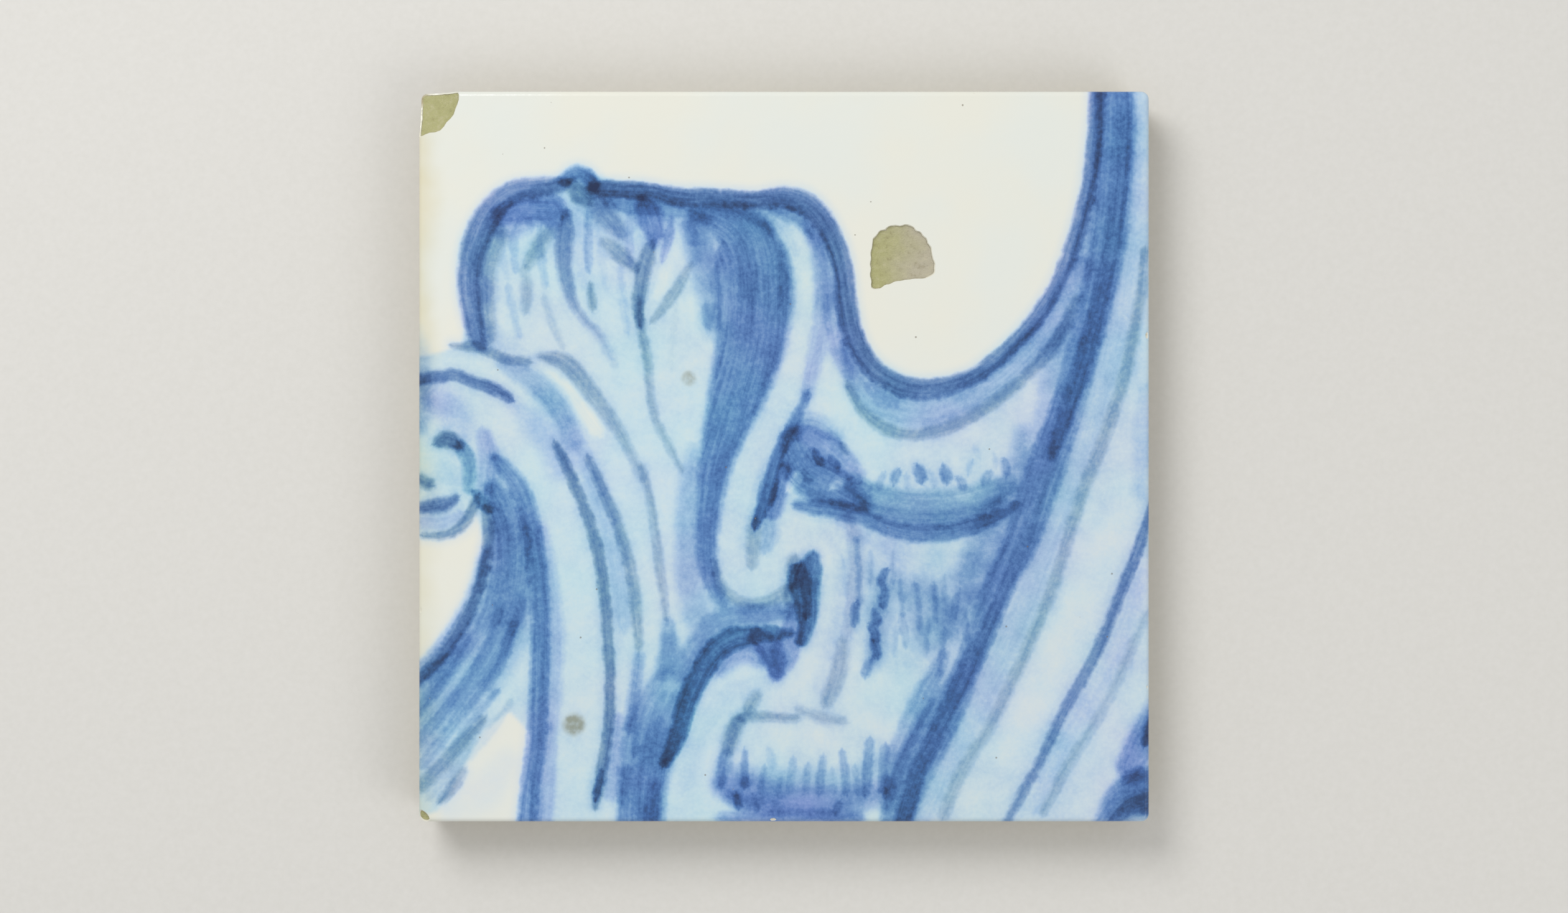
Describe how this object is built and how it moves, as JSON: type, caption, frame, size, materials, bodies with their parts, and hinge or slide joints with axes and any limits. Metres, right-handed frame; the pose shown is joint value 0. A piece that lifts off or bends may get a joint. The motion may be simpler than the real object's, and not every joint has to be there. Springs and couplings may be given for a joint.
{
  "type": "azulejo wall tile",
  "caption": "Square hand-made wall tile of tin-glazed earthenware with sides undercut towards the back, a rolled glaze edge and a scroll and leaf painted in blue.",
  "frame": {"origin": "middle of the tile's back, on the surface that it lies on", "axes": "+Z out of the glazed face, +X to the right and +Y to the top of the painted picture"},
  "size_m": [0.1398, 0.1398, 0.012],
  "materials": {
    "glazed_earthenware": "gloss"
  },
  "bodies": {
    "root": {"azulejo_tile": "glazed_earthenware"}
  },
  "joints": []
}
